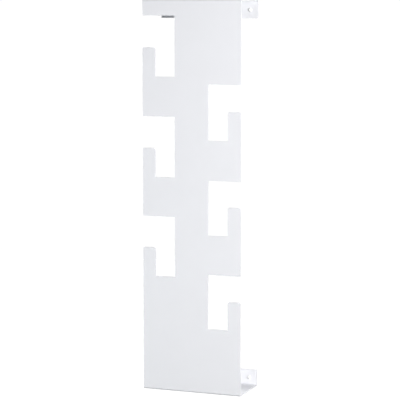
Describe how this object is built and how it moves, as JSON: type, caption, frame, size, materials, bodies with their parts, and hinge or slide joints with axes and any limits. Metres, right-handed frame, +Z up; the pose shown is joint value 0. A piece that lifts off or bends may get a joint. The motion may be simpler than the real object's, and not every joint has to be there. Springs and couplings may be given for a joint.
{
  "type": "wall-mounted umbrella rack",
  "caption": "Wall-mounted umbrella rack folded from one white steel sheet, with hooks cut into both sides of a central column, held by screws through a tab at the top and at the bottom.",
  "frame": {"origin": "on the wall face of the top tab, midway between the two upper screws", "axes": "+Z up, +X to the right seen from the front, +Y into the wall"},
  "size_m": [0.2, 0.1293, 0.757],
  "materials": {
    "powder_coat": "satin powder coat, fine texture",
    "screw_lacquer": "gloss lacquer on the screw heads",
    "nylon": "moulded nylon"
  },
  "bodies": {
    "root": {"rack_body": "powder_coat", "screw_upper_left": "screw_lacquer", "wall_plug_upper_left": "nylon", "screw_upper_right": "screw_lacquer", "wall_plug_upper_right": "nylon", "screw_lower_left": "screw_lacquer", "wall_plug_lower_left": "nylon", "screw_lower_right": "screw_lacquer", "wall_plug_lower_right": "nylon"}
  },
  "joints": []
}
